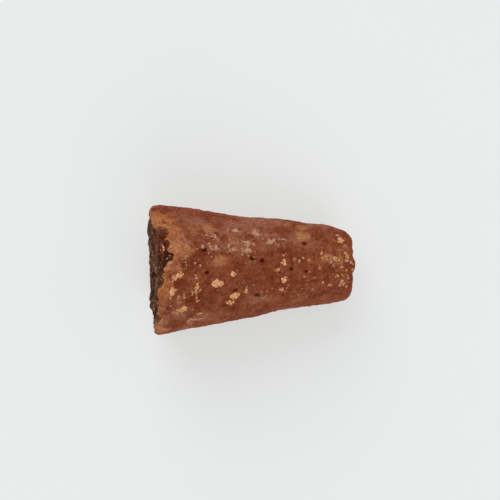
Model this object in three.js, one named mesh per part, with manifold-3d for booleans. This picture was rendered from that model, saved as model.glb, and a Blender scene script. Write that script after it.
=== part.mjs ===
// Piloncillo: unrefined cane sugar, boiled down and cast in a tapered cup, lying on its side.
// Millimetres and degrees, +Z up. The origin is on the ground, under the middle of the cone.
//
// A place on the cone is told by two numbers: along, the distance from the wide end down the
// axis, and around, the angle from the uppermost line towards +Y. The cone is modelled with its
// axis on +X and is then tipped by half its taper, so that its lowest line lies on the ground.

import * as THREE from "three";
import { mergeVertices } from "three/addons/utils/BufferGeometryUtils.js";
import Module from "manifold-3d";

const wasm = await Module();
wasm.setup();

// The casting, as the mould gives it
const LENGTH = 73.4;
const WIDE_RADIUS = 24.25;
const NARROW_RADIUS = 13.6;
const WIDE_EDGE = 1.8; // rounding of the rim at the mouth of the mould
const NARROW_EDGE = 2.7; // rounding at the bottom of the mould
const MOUTH_DISH = 1.6; // how far the syrup sank in the middle of the mouth as it set
const TAPER = Math.atan((WIDE_RADIUS - NARROW_RADIUS) / LENGTH);
const FLAT_DEPTH = 0.4; // worn off the lowest line, so that the cone rests without rolling

// The mesh: rings from the middle of the wide face, over the side, to the middle of the narrow face
const SEGMENTS = 60;
const MOUTH_RINGS = 8;
const CRUST_RINGS = 9;
const SIDE_RINGS = 16;
const BOTTOM_RINGS = 4;
const EDGE_RINGS = 3;
const CRUST_REACH = 15; // the stretch behind the rim that carries most of the crust

// Unevenness of the cast surface: how high the lumps are, and how wide
const SWELLS = { height: 0.42, size: 17 };
const LUMPS = { height: 0.34, size: 6.5 };
const GRIT = { height: 0.14, size: 2.8 };
const MOUTH_ROUGHNESS = 2; // the open face sets this many times rougher than the moulded side

// Shallow hollows, and swellings of negative depth, each with its middle, its reach and its depth
const HOLLOWS = [
  { along: 15, around: 82, length: 20, width: 18, depth: -0.45 },
  { along: 35, around: 88, length: 26, width: 18, depth: 0.95 },
  { along: 47, around: -78, length: 24, width: 18, depth: 0.35 },
  { along: 23, around: 160, length: 20, width: 22, depth: 0.4 },
  { along: 62, around: 150, length: 14, width: 12, depth: 0.35 },
  { along: 58.5, around: 88, length: 13, width: 16, depth: 0.55 },
  { along: 73, around: 88, length: 17, width: 22, depth: 1.6 },
  { along: 73, around: -2, length: 8, width: 10, depth: -0.2 },
];

// Where the syrup climbed the wall of the mould, so that the rim stands further out
const RIM_RISES = [
  { around: 55, width: 76, rise: 1.35 },
  { around: -62, width: 62, rise: 1.2 },
];
// Where the narrow end stands out of the bottom of the mould, or falls short of it
const END_RISES = [
  { around: 43, width: 40, rise: 0.55 },
  { around: 13, width: 20, rise: -0.65 },
  { around: -20, width: 30, rise: -0.8 },
  { around: -40, width: 34, rise: -0.38 },
];
const RISE_REACH = 7; // the distance from either edge over which a rise levels off

// Bites out of the rim, each as wide as an angle, as long as it reaches from the rim, and as deep
const BITES = [
  { around: 18, width: 43, reach: 4.9, depth: 1.6 },
  { around: 12, width: 15, reach: 6.9, depth: 1.3 },
  { around: 86, width: 24, reach: 3, depth: 0.6 },
  { around: -48, width: 13, reach: 2, depth: 0.5 },
  { around: -81, width: 16, reach: 2.4, depth: 0.5 },
  { around: -128, width: 22, reach: 3.4, depth: 0.8 },
  { around: 114, width: 14, reach: 2.6, depth: 0.6 },
  { around: 151, width: 20, reach: 2.8, depth: 0.7 },
];
const BITE_SLOPE = 0.8; // how much deeper a bite is at the rim than at its edge, as a share

// Pale crust: sugar that dried on the wall of the mould in a thin plate with a ragged edge
const CRUSTS = [
  { along: 2.5, around: 54, length: 18, width: 18, thick: 0.5 },
  { along: 6.5, around: 37, length: 12, width: 12, thick: 0.5 },
  { along: 8.2, around: 25, length: 12, width: 12, thick: 0.5 },
  { along: 9.6, around: 14, length: 11, width: 8, thick: 0.4 },
  { along: 6, around: -2, length: 9, width: 9, thick: 0.45 },
  { along: 4.5, around: -12, length: 10, width: 11, thick: 0.5 },
  { along: 2.5, around: -24, length: 9, width: 12, thick: 0.45 },
  { along: 2, around: -46, length: 8, width: 16, thick: 0.35 },
  { along: 3.5, around: -70, length: 9, width: 16, thick: 0.35 },
  { along: 5, around: -150, length: 12, width: 18, thick: 0.45 },
  { along: 4, around: 128, length: 10, width: 16, thick: 0.45 },
];
const CRUST_RAGGED = 0.35;
const CRUST_GRAIN = 3.5;

// Flakes of pale sugar that stand on the side, and the bubbles that opened on it
const FLAKES = [
  { along: 21.6, around: -15, length: 4.8, width: 3, thick: 0.75, turn: 12 },
  { along: 27.4, around: -6, length: 2.3, width: 2.1, thick: 0.65, turn: 0 },
  { along: 28, around: -31, length: 4, width: 3.1, thick: 0.75, turn: 20 },
  { along: 26.4, around: -39, length: 3.4, width: 2.6, thick: 0.6, turn: -30 },
  { along: 46, around: 4, length: 2, width: 2, thick: 0.6, turn: 0 },
  { along: 46, around: -16, length: 2.6, width: 2.3, thick: 0.65, turn: 40 },
  { along: 45.2, around: -28, length: 1.9, width: 1.7, thick: 0.5, turn: 0 },
  { along: 32, around: -27, length: 1.9, width: 1.6, thick: 0.5, turn: 0 },
  { along: 43.6, around: -5, length: 2.1, width: 1.3, thick: 0.45, turn: 80 },
  { along: 68.7, around: 36, length: 3.6, width: 2.4, thick: 0.5, turn: 60 },
  { along: 70.5, around: 10, length: 2, width: 1.7, thick: 0.45, turn: 0 },
  { along: 66.2, around: -17, length: 1.8, width: 1.5, thick: 0.45, turn: 0 },
  { along: 63.8, around: -30, length: 1.7, width: 1.5, thick: 0.45, turn: 0 },
  { along: 61.6, around: 9, length: 3, width: 1.6, thick: 0.5, turn: 10 },
  { along: 66.4, around: 6, length: 2.4, width: 1.8, thick: 0.5, turn: 0 },
  { along: 13.8, around: -18, length: 4.6, width: 1.6, thick: 0.45, turn: 82 },
  { along: 15.1, around: -49, length: 2.8, width: 1.6, thick: 0.45, turn: 0 },
  { along: 9, around: -39, length: 4, width: 2.5, thick: 0.5, turn: 10 },
  { along: 7.2, around: -5.7, length: 5, width: 2.1, thick: 0.6, turn: 37 },
  { along: 4.8, around: -18.3, length: 3.8, width: 2.6, thick: 0.6, turn: 75 },
];
const BUBBLES = [
  { along: 54.8, around: 30, length: 2.4, width: 2.3, depth: 1.4 },
  { along: 38.4, around: 7, length: 2.5, width: 2.3, depth: 1.4 },
  { along: 34.4, around: 9, length: 2.1, width: 1.8, depth: 1.1 },
  { along: 17.3, around: 18, length: 2.8, width: 1.6, depth: 1.1 },
  { along: 17.8, around: -4, length: 2.3, width: 1.6, depth: 1 },
  { along: 36.4, around: -34, length: 2.6, width: 1.5, depth: 1 },
  { along: 54.5, around: -8, length: 1.8, width: 1.4, depth: 0.9 },
  { along: 49, around: -4, length: 1.7, width: 1.4, depth: 0.9 },
  { along: 28.1, around: -24, length: 3.2, width: 1.1, depth: 0.6 },
];

// The rest of both kinds is strewn over the lower side, as far from each other as this
const STREWN_FLAKES = 17;
const STREWN_BUBBLES = 9;
const MOUTH_BUBBLES = 9;
const STREWN_APART = 5.5;
const STREWN_FROM_ENDS = 6;
const LOWER_SIDE = { from: 104, span: 152 };
const GOLDEN_ANGLE = 137.508;
const FIRST_DRAW = 4711;
const FLAKE_RAGGED = 0.42; // how far a flake's outline strays from an oval

const RAW_SUGAR = { color: 0x7a3f2a, roughness: 0.78, metalness: 0 };

// Random numbers from 0 to 1, the same on every run
let draw = FIRST_DRAW;
function random() {
  draw = (draw * 16807) % 2147483647;
  return draw / 2147483647;
}

const between = (low, high) => low + (high - low) * random();

// A fixed random number from -1 to 1 for each corner of a lattice
function corner(i, j, k) {
  const s = Math.sin(i * 127.1 + j * 311.7 + k * 74.7) * 43758.5453;
  return 2 * (s - Math.floor(s)) - 1;
}

// Smooth random lumps from -1 to 1, each about as wide as size
function lumps(point, size) {
  const scaled = point.clone().divideScalar(size);
  const cell = scaled.clone().floor();
  const inside = scaled.sub(cell);
  const ease = inside.toArray().map((t) => t * t * (3 - 2 * t));
  let sum = 0;
  for (let n = 0; n < 8; n++) {
    const step = [n & 1, (n >> 1) & 1, (n >> 2) & 1];
    const weight = step.reduce((w, on, axis) => w * (on ? ease[axis] : 1 - ease[axis]), 1);
    sum += weight * corner(cell.x + step[0], cell.y + step[1], cell.z + step[2]);
  }
  return sum;
}

const radiusAt = (along) => WIDE_RADIUS + ((NARROW_RADIUS - WIDE_RADIUS) * along) / LENGTH;

const alongOf = (point) => point.x;
const fromAxis = (point) => Math.hypot(point.y, point.z);
const aroundOf = (point) => THREE.MathUtils.radToDeg(Math.atan2(point.y, point.z));

// The shorter way round from one angle to another, in degrees
const turnBetween = (from, to) => THREE.MathUtils.euclideanModulo(to - from + 180, 360) - 180;

// How far a point is from a place on the side, along it and round it, in millimetres
function apartFrom(place, point) {
  const arc = THREE.MathUtils.degToRad(turnBetween(place.around, aroundOf(point)));
  return [alongOf(point) - place.along, arc * radiusAt(place.along)];
}

// 1 in the middle of an oval mark on the side, 0 at its edge and beyond
function share(mark, point) {
  const [down, across] = apartFrom(mark, point);
  const spent = Math.hypot((2 * down) / mark.length, (2 * across) / mark.width);
  return THREE.MathUtils.smoothstep(1 - spent, 0, 1);
}

function hollowed(point) {
  return -HOLLOWS.reduce((sum, hollow) => sum + hollow.depth * share(hollow, point), 0);
}

// How far a point is from the edge of either end, in millimetres
const fromRim = (point) => Math.max(alongOf(point), WIDE_RADIUS - fromAxis(point));
const fromFoot = (point) => Math.max(LENGTH - alongOf(point), NARROW_RADIUS - fromAxis(point));

function risen(rises, fromEdge, point) {
  const near = 1 - THREE.MathUtils.smoothstep(fromEdge, 0, RISE_REACH);
  return rises.reduce((sum, { around, width, rise }) => {
    const aside = Math.abs(2 * turnBetween(around, aroundOf(point))) / width;
    return sum + near * rise * THREE.MathUtils.smoothstep(1 - aside, 0, 1);
  }, 0);
}

// How far the ends have moved at a point, towards the narrow one
function stretched(point) {
  return risen(END_RISES, fromFoot(point), point) - risen(RIM_RISES, fromRim(point), point);
}

function bitten(point) {
  const depths = BITES.map((bite) => {
    const aside = (2 * turnBetween(bite.around, aroundOf(point))) / bite.width;
    const inside = 1 - Math.hypot(fromRim(point) / bite.reach, aside);
    const depth = bite.depth * (1 + BITE_SLOPE * inside);
    return depth * THREE.MathUtils.smoothstep(inside, 0, 0.6);
  });
  return -Math.max(...depths);
}

function crusted(point) {
  const ragged = CRUST_RAGGED * lumps(point, CRUST_GRAIN);
  const heights = CRUSTS.map((crust) => {
    const cover = Math.sqrt(share(crust, point)) + ragged;
    return crust.thick * THREE.MathUtils.smoothstep(cover, 0.3, 0.6);
  });
  return Math.max(...heights);
}

// How far the real surface stands out of the mould's shape at a point, along its normal
function relief(point, normal) {
  const mouth = THREE.MathUtils.smoothstep(-normal.x, 0.4, 0.95);
  const side = THREE.MathUtils.smoothstep(fromAxis(point) / radiusAt(alongOf(point)), 0.5, 0.9);
  const uneven = [SWELLS, LUMPS, GRIT].reduce((sum, w) => sum + w.height * lumps(point, w.size), 0);
  const shaped = side * (crusted(point) + hollowed(point)) + bitten(point);
  return uneven * (1 + (MOUTH_ROUGHNESS - 1) * mouth) + shaped;
}

// Points from the middle of the wide face to the middle of the narrow one: x is radius, y is along
function castingProfile() {
  const wideCorner = new THREE.Vector2(WIDE_RADIUS, 0);
  const narrowCorner = new THREE.Vector2(NARROW_RADIUS, LENGTH);
  const down = narrowCorner.clone().sub(wideCorner).normalize();
  const rim = new THREE.QuadraticBezierCurve(
    new THREE.Vector2(WIDE_RADIUS - WIDE_EDGE, 0),
    wideCorner,
    wideCorner.clone().addScaledVector(down, WIDE_EDGE),
  );
  const foot = new THREE.QuadraticBezierCurve(
    narrowCorner.clone().addScaledVector(down, -NARROW_EDGE),
    narrowCorner,
    new THREE.Vector2(NARROW_RADIUS - NARROW_EDGE, LENGTH),
  );
  const crustEnd = wideCorner.clone().addScaledVector(down, CRUST_REACH);
  const line = (from, to) => new THREE.LineCurve(from, to);
  const stretches = [
    [line(new THREE.Vector2(0, 0), rim.v0), MOUTH_RINGS],
    [rim, EDGE_RINGS],
    [line(rim.v2, crustEnd), CRUST_RINGS],
    [line(crustEnd, foot.v0), SIDE_RINGS],
    [foot, EDGE_RINGS],
    [line(foot.v2, new THREE.Vector2(0, LENGTH)), BOTTOM_RINGS],
  ];
  const points = stretches.flatMap(([curve, count]) => curve.getPoints(count).slice(0, -1));
  return [...points, new THREE.Vector2(0, LENGTH)];
}

// The casting as a lathed form whose every vertex is pushed in or out by the relief
function castingGeometry() {
  const geometry = new THREE.LatheGeometry(castingProfile(), SEGMENTS);
  geometry.rotateZ(-Math.PI / 2);
  const { position, normal } = geometry.attributes;
  for (let i = 0; i < position.count; i++) {
    const point = new THREE.Vector3().fromBufferAttribute(position, i);
    const outward = new THREE.Vector3().fromBufferAttribute(normal, i);
    const sunk = MOUTH_DISH * THREE.MathUtils.smoothstep(-outward.x, 0.9, 1)
      * (1 - (fromAxis(point) / WIDE_RADIUS) ** 2);
    const moved = point.clone().addScaledVector(outward, relief(point, outward) - sunk);
    position.setXYZ(i, moved.x + stretched(point), moved.y, moved.z);
  }
  return geometry;
}

// A place on the real surface, with its outward normal and the direction along the cone
function siteOnSide({ along, around }) {
  const turn = THREE.MathUtils.degToRad(around);
  const outward = new THREE.Vector3(
    Math.sin(TAPER),
    Math.cos(TAPER) * Math.sin(turn),
    Math.cos(TAPER) * Math.cos(turn),
  );
  const radius = radiusAt(along);
  const point = new THREE.Vector3(along, radius * Math.sin(turn), radius * Math.cos(turn));
  point.addScaledVector(outward, relief(point, outward));
  const ahead = new THREE.Vector3(1, 0, 0);
  return { point, outward, ahead: ahead.addScaledVector(outward, -outward.x).normalize() };
}

function siteOnMouth({ radius, around }) {
  const turn = THREE.MathUtils.degToRad(around);
  const point = new THREE.Vector3(0, radius * Math.sin(turn), radius * Math.cos(turn));
  const outward = new THREE.Vector3(-1, 0, 0);
  const sunk = MOUTH_DISH * (1 - (radius / WIDE_RADIUS) ** 2);
  point.addScaledVector(outward, relief(point, outward) - sunk);
  return { point, outward, ahead: new THREE.Vector3(0, Math.sin(turn), Math.cos(turn)) };
}

// An uneven ball, squashed to the given size and laid on a site
function knob(site, length, width, height, turn, ragged) {
  const geometry = new THREE.IcosahedronGeometry(1, 1);
  const { position } = geometry.attributes;
  const bump = new THREE.Vector3();
  for (let i = 0; i < position.count; i++) {
    bump.fromBufferAttribute(position, i);
    const swell = 1 + ragged * lumps(bump.clone().add(site.point), 0.7);
    position.setXYZ(i, bump.x * swell, bump.y * swell, bump.z * swell);
  }
  geometry.scale(length / 2, width / 2, height);
  geometry.rotateZ(THREE.MathUtils.degToRad(turn));
  const across = site.outward.clone().cross(site.ahead);
  geometry.applyMatrix4(new THREE.Matrix4().makeBasis(site.ahead, across, site.outward));
  return geometry.translate(...site.point.toArray());
}

function flakeGeometry(flake) {
  const { length, width, thick, turn } = flake;
  return knob(siteOnSide(flake), length, width, thick, turn, FLAKE_RAGGED);
}

function bubbleGeometry(site, { length, width, depth }) {
  return knob(site, length, width, depth, 0, 0);
}

// Places on the side in a spiral, which keeps them even, and no nearer than allowed to those taken
function strewnPlaces(count, taken) {
  const places = [];
  for (let n = 0; places.length < count; n++) {
    const round = LOWER_SIDE.from + ((n * GOLDEN_ANGLE) % LOWER_SIDE.span);
    const place = {
      along: between(STREWN_FROM_ENDS, LENGTH - STREWN_FROM_ENDS),
      around: turnBetween(0, round + between(-10, 10)),
    };
    const { point } = siteOnSide(place);
    const near = [...taken, ...places].some((t) => Math.hypot(...apartFrom(t, point)) < STREWN_APART);
    if (!near) places.push(place);
  }
  return places;
}

function strewnFlakes(taken) {
  return strewnPlaces(STREWN_FLAKES, taken).map((place) => {
    const length = between(1.8, 4.6);
    const width = length * between(0.5, 0.9);
    return { ...place, length, width, thick: between(0.4, 0.75), turn: between(0, 180) };
  });
}

function strewnBubbles(taken) {
  return strewnPlaces(STREWN_BUBBLES, taken).map((place) => {
    const length = between(1.5, 2.7);
    return { ...place, length, width: length * between(0.6, 1), depth: length * between(0.45, 0.65) };
  });
}

function mouthBubbles() {
  return Array.from({ length: MOUTH_BUBBLES }, (_, n) => {
    const radius = (WIDE_RADIUS - 4) * Math.sqrt((n + 0.5) / MOUTH_BUBBLES);
    const length = between(1.8, 3.8);
    const shape = { length, width: length * between(0.7, 1), depth: length * between(0.35, 0.5) };
    return { radius, around: n * GOLDEN_ANGLE, ...shape };
  });
}

// The ground, as a block that cuts the lowest line of the cone flat
function groundGeometry() {
  const size = 3 * LENGTH;
  const block = new THREE.BoxGeometry(size, size, size);
  block.translate(0, 0, FLAT_DEPTH - size / 2);
  block.rotateY(-TAPER);
  return block.translate(0, 0, -WIDE_RADIUS);
}

function solid(geometry) {
  const bare = new THREE.BufferGeometry();
  bare.setAttribute("position", geometry.attributes.position);
  bare.setIndex(geometry.index);
  const merged = mergeVertices(bare, 1e-3);
  return new wasm.Manifold(
    new wasm.Mesh({
      numProp: 3,
      vertProperties: merged.attributes.position.array,
      triVerts: new Uint32Array(merged.index.array),
    }),
  );
}

function geometryOf(manifold) {
  const { vertProperties, triVerts } = manifold.getMesh();
  const geometry = new THREE.BufferGeometry();
  geometry.setAttribute("position", new THREE.BufferAttribute(vertProperties, 3));
  geometry.setIndex(new THREE.BufferAttribute(triVerts, 1));
  geometry.computeVertexNormals();
  return geometry;
}

function coneGeometry() {
  const flakes = [...FLAKES, ...strewnFlakes([...FLAKES, ...BUBBLES])];
  const bubbles = [...BUBBLES, ...strewnBubbles([...flakes, ...BUBBLES])];
  let cone = solid(castingGeometry());
  for (const flake of flakes) cone = cone.add(solid(flakeGeometry(flake)));
  for (const bubble of bubbles) cone = cone.subtract(solid(bubbleGeometry(siteOnSide(bubble), bubble)));
  for (const bubble of mouthBubbles()) {
    cone = cone.subtract(solid(bubbleGeometry(siteOnMouth(bubble), bubble)));
  }
  return geometryOf(cone.subtract(solid(groundGeometry())));
}

const sugarCone = new THREE.Mesh(coneGeometry(), new THREE.MeshStandardMaterial(RAW_SUGAR));
sugarCone.name = "sugar_cone";
sugarCone.rotation.y = TAPER;

// Stands the tipped cone on the ground, with the origin under its middle
const piloncillo = new THREE.Group();
piloncillo.add(sugarCone);
const box = new THREE.Box3().setFromObject(piloncillo, true);
const middle = box.getCenter(new THREE.Vector3());
sugarCone.position.set(-middle.x, -middle.y, -box.min.z);

export default piloncillo;
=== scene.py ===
"""Piloncillo: a cone of unrefined cane sugar that lies on its side on a pale table.

The cone is described the way its casting is: along is the distance from the wide end down the
axis, in millimetres, and around is the angle from the uppermost line towards +Y, in degrees.
"""

import math

import bmesh
import bpy
import numpy as np
from bpy.props import FloatProperty, FloatVectorProperty, IntProperty, PointerProperty
from bpy.types import Operator, Panel, PropertyGroup
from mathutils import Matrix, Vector


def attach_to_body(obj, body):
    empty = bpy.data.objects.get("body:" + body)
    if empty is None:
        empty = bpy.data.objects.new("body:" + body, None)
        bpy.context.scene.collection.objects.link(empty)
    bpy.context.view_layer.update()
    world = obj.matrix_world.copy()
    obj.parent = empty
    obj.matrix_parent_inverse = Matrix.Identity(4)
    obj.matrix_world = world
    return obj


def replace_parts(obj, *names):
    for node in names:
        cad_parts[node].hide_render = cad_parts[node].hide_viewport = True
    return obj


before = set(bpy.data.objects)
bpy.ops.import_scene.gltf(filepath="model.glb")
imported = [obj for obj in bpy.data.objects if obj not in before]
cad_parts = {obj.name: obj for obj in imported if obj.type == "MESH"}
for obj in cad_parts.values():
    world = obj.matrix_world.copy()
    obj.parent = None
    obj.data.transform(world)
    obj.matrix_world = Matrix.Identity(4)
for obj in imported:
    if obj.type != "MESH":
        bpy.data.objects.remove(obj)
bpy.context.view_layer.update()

bl_info = {
    "name": "Piloncillo cone",
    "version": (1, 0, 0),
    "blender": (4, 5, 0),
    "location": "View3D > Sidebar > Piloncillo",
    "description": "Builds a cone of raw cane sugar with its flakes, crumbs and grains",
    "category": "Object",
}

NODE = "sugar_cone"
BODY = "root"

MM = 0.001
MOUTH_CENTRE_MM = (-35.8336, 0.2378)  # where the middle of the wide end stands on the table
CAMERA_FROM_MOUTH_MM = (36.07, 6.12)  # from there to the point that the camera looks down on

# Unevenness of the cast surface, as (height, size) in millimetres
SWELLS = ((0.42, 17.0), (0.34, 6.5), (0.14, 2.8))
FINE_GRAIN = ((0.13, 1.5), (0.12, 0.8))
TORN_GRAIN = ((0.4, 2.4), (0.3, 1.2))
GRAIN_SPAN = 0.5  # from the lowest to the highest of the fine grain
TORN_SPAN = 1.4
MOUTH_ROUGHNESS = 2  # how much more uneven than the side the wide face is
SCUFF_ROUGHNESS = 1.3  # how much rougher than the rest the scuffed places are

# How squarely the surface faces out of the mould's mouth where each of these starts and is full
MOUTH_FACING = (0.4, 0.95)  # the unevenness and the bubbles of the wide face
BROWN_FACING = (0.86, 0.98)  # its darker brown
DISH_FACING = (0.9, 1)  # its sunken middle
SIDE_FROM = (0.5, 0.9)  # share of the radius from which what lies on the side starts and is full

# Shallow hollows, and swellings of negative depth: along, around, length, width, depth
HOLLOWS = (
    (15, 82, 20, 18, -0.45),
    (35, 88, 26, 18, 0.95),
    (47, -78, 24, 18, 0.35),
    (23, 160, 20, 22, 0.4),
    (62, 150, 14, 12, 0.35),
    (58.5, 88, 13, 16, 0.55),
    (73, 88, 17, 22, 1.6),
    (73, -2, 8, 10, -0.2),
)

# Where the syrup climbed the wall of the mould, so that the rim stands further out: around,
# width in degrees, rise
RIM_RISES = ((55, 76, 1.35), (-62, 62, 1.2))

# Where the narrow end stands out of the bottom of the mould, or falls short of it
END_RISES = ((43, 40, 0.55), (13, 20, -0.65), (-20, 30, -0.8), (-40, 34, -0.38))
RISE_REACH = 7.0  # the distance from either edge over which a rise levels off

# Bites out of the rim: around, width in degrees, reach, depth
BITES = (
    (18, 43, 4.9, 1.6),
    (12, 15, 6.9, 1.3),
    (86, 24, 3, 0.6),
    (-48, 13, 2, 0.5),
    (-81, 16, 2.4, 0.5),
    (-128, 22, 3.4, 0.8),
    (114, 14, 2.6, 0.6),
    (151, 20, 2.8, 0.7),
)
BITE_SLOPE = 0.8  # how much deeper a bite is at the rim than at its edge, as a share
BITE_FRAY = ((0.13, 2.4), (0.13, 1.1))  # unevenness of its wall: share, size

# How far inside a bite each of these starts and is full, as shares of the way in
BITE_EDGE = (0.0, 0.3)  # its depth
TORN_EDGE = (0.0, 0.25)  # its torn surface
BROWN_EDGE = (0.0, 0.4)  # its own brown, in place of that of the wide face
WORN_EDGE = (0.0, 0.6)  # the wide face's surface, inside a place where it runs on

# Places near the rim, each told as along, around, length, width
TORN = ((2, 33.5, 6, 6),)  # where only the skin came off
WORN = ((0.3, -4, 5.6, 13),)  # where the dark of the wide face runs on over the rim
BARE = ((4.8, -4, 5, 6),)  # where the crust left the side free
SHADES = ((4.6, 13, 4, 5), (2.6, 9, 9, 9), (3.2, -128, 4, 5))  # darker places in the bites: painted shade where they are deepest

# How the bite at the top runs on down the wide face, and where that face is darker, with painted
# shade that runs on below the bite and one more darker place: out from the middle, around, length,
# width
FACE_STAINS = ((15, 20, 26, 13), (10, 75, 15, 28))
FACE_SHADES = ((16, 8, 24, 8), (15, -148, 10, 9))

# Pale crust that dried on the wall of the mould: along, around, length, width, thickness
CRUSTS = (
    (2.5, 54, 18, 18, 0.5),
    (6.5, 37, 12, 12, 0.5),
    (8.2, 25, 12, 12, 0.5),
    (9.6, 14, 11, 8, 0.4),
    (6, -2, 9, 9, 0.45),
    (4.5, -12, 10, 11, 0.5),
    (2.5, -24, 9, 12, 0.45),
    (2, -46, 8, 16, 0.35),
    (3.5, -70, 9, 16, 0.35),
    (5, -150, 12, 18, 0.45),
    (4, 128, 10, 16, 0.45),
)
CRUST_EDGE = (0.36, 0.5)  # how far inside a crust its step starts and ends, as shares of the way in
CRUST_FRAY = ((0.35, 3.5), (0.13, 1.1))  # unevenness of that step: share, size

# How far the crust's colour reaches from the rim: around, reach
CRUST_REACHES = (
    (-180, 4),
    (-150, 8),
    (-120, 2),
    (-86, 3.5),
    (-71, 4.6),
    (-49, 2.6),
    (-34, 2.2),
    (-27, 2.8),
    (-23, 5),
    (-17, 6.4),
    (-12, 6.8),
    (-7, 8.8),
    (-2, 9.2),
    (4, 8.6),
    (9, 7.8),
    (13, 13.4),
    (19, 12.8),
    (25, 11.2),
    (31, 9.8),
    (37, 8.8),
    (43, 8.2),
    (49, 7.2),
    (55, 4.2),
    (62, 1),
    (76, -3),
    (100, -2),
    (128, 8),
    (150, 3),
    (180, 4),
)
CRUST_FADE = 8.0  # the distance over which the crust's nearness goes from 1 to 0
CRUST_TATTERS = ((0.2, 3.2), (0.17, 1.3))  # unevenness of where its colour ends: share, size

# Tan smears that lie flush with the surface: along, around, length, width
SMEARS = (
    (54.5, 41, 9, 8),
    (55, 57, 7, 6),
    (63.2, 8.5, 10, 6),
    (66.8, 5.5, 8, 6),
    (22.7, 8, 8, 7),
    (19, 43, 8, 8),
    (38, -110, 9, 6),
    (57, -135, 7, 8),
    (20, 120, 8, 6),
    (48, 140, 7, 9),
    (30, -170, 8, 7),
)

# Whitish bloom where the surface was scuffed, and a lighter haze that is partly painted sheen along
# the upper side: along, around, length, width
BLOOMS_AND_SHEEN = (
    (9.5, 22, 13, 10),
    (3.5, -54, 12, 14),
    (22, 23, 16, 11),
    (32, 22, 18, 14),
    (42, 32, 22, 13),
    (30, 47, 30, 14),
    (15, 52, 18, 12),
    (54, 34, 16, 12),
    (40, 66, 32, 16),
    (60, 72, 20, 12),
    (8, -43, 14, 10),
    (17, -56, 16, 9),
    (36, -40, 16, 8),
    (30, 150, 22, 14),
    (50, -120, 20, 12),
    (18, -120, 18, 12),
)
SCUFFS = (  # the roughest and whitest places in it
    (21, 21, 9, 5),
    (26.8, 21, 6, 6),
    (32.8, 26.5, 8, 4.5),
    (32.5, 18, 7, 4.5),
    (31.2, 13, 4.5, 2.4),
    (16.5, 22, 6, 4),
    (21, 32, 8, 5),
    (29, 43, 7, 4),
    (37.5, 40, 8, 6),
    (43.5, 30, 10, 6),
    (8, -42, 7, 6),
    (13, -58, 9, 4),
    (30, 152, 9, 7),
    (48, -118, 9, 7),
    (17, -123, 8, 6),
)

# Flakes of pale sugar: along, around, length, width, thickness, turn, and how pale each of them
# is, from tan at 0 to cream at 1
FLAKES = (
    (21.6, -15, 4.8, 3, 0.75, 12, 0.85),
    (27.4, -6, 2.3, 2.1, 0.65, 0, 0.9),
    (28, -31, 4, 3.1, 0.75, 20, 0.64),
    (26.4, -39, 3.4, 2.6, 0.6, -30, 0.42),
    (46, 4, 2, 2, 0.6, 0, 0.8),
    (46, -16, 2.6, 2.3, 0.65, 40, 0.8),
    (45.2, -28, 1.9, 1.7, 0.5, 0, 0.5),
    (32, -27, 1.9, 1.6, 0.5, 0, 0.7),
    (43.6, -5, 2.1, 1.3, 0.45, 80, 0.6),
    (68.7, 36, 3.6, 2.4, 0.5, 60, 0.6),
    (70.5, 10, 2, 1.7, 0.45, 0, 0.5),
    (66.2, -17, 1.8, 1.5, 0.45, 0, 0.5),
    (63.8, -30, 1.7, 1.5, 0.45, 0, 0.5),
    (61.6, 9, 3, 1.6, 0.5, 10, 0.15),
    (66.4, 6, 2.4, 1.8, 0.5, 0, 0.25),
    (13.8, -18, 4.6, 1.6, 0.45, 82, 0.55),
    (15.1, -49, 2.8, 1.6, 0.45, 0, 0.35),
    (9, -39, 4, 2.5, 0.5, 10, 0.42),
    (7.2, -5.7, 5, 2.1, 0.6, 37, 0.65),
    (4.8, -18.3, 3.8, 2.6, 0.6, 75, 0.55),
)
LOBES_PER_MM = 3.4
LOBE_SPREAD = 0.76  # how near to a flake's edge its outermost lobe lies
LOBE_SWING = 30  # how far a lobe may lie from its turn in the spiral, in degrees
LOBE_BREADTH = (0.22, 0.5)  # share of the flake's width
LOBE_STRETCH = (0.8, 1.3)  # how long a lobe is for its breadth
LOBE_HEIGHT = (0.7, 1.3)  # share of the flake's thickness
LOBE_FALL = 0.4  # how much lower the lobes are at a flake's edge
LOBE_RAGGED = (0.42, 0.7)  # unevenness of a lobe: height as a share of its size, and size
LOBE_GRAIN = (0.2, 0.45)  # its finer unevenness: height, size
DUST_REACH = 2.2  # how many times a flake's own size its dust reaches

# Loose crumbs: along, around, length, width, how many, largest breadth
CRUMB_FIELDS = (
    (13.8, -20, 3, 14, 22, 1.5),
    (65, 6, 13, 5, 8, 1.8),
    (69, -6, 6, 16, 15, 1.8),
    (58, -12, 18, 12, 12, 1.3),
    (27, 22, 20, 9, 40, 1.0),
    (52, 7, 12, 2, 4, 1.2),
    (7, -28, 8, 12, 14, 1.3),
    (8, -42, 4, 5, 7, 1.8),
    (12, 8, 8, 5, 8, 1.2),
    (38, -30, 16, 8, 12, 1.1),
    (68, 40, 4, 5, 6, 1.5),
    (0.6, 20, 1, 2, 3, 1.4),
    (34, -120, 40, 22, 50, 1.7),
    (32, 150, 42, 24, 50, 1.7),
    (5, 19, 2, 3, 6, 1.4),
    (4.8, 6.5, 2, 2, 5, 1.3),
    (2.8, -1, 2, 4, 5, 1.2),
    (5.3, -10, 2, 3, 6, 1.6),
    (4.6, -25, 1, 1, 2, 1.6),
    (49.2, 7, 2, 0.5, 2, 1.2),
    (55.9, 6.5, 1.5, 0.5, 2, 1.3),
    (59.8, 0.2, 0.5, 0.5, 1, 1.4),
    (62.5, 11, 2, 0.5, 2, 1.5),
    (63.9, 4, 2, 0.5, 2, 1.5),
    (67.9, -4.5, 1, 1, 2, 1.4),
    (69.8, -9.4, 0.5, 0.5, 1, 1.5),
    (72.2, -0.7, 0.5, 0.5, 1, 1.4),
)
FIELD_SHARES = (0.35, 1)  # least and most breadth of a field's crumbs, as shares of its largest
FIELD_SPREAD = 0.28  # how far they spread from its middle, as a share of its size
CRUMBS_PER_MM = 1.4  # how many lie round a flake for each millimetre of its length
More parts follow.
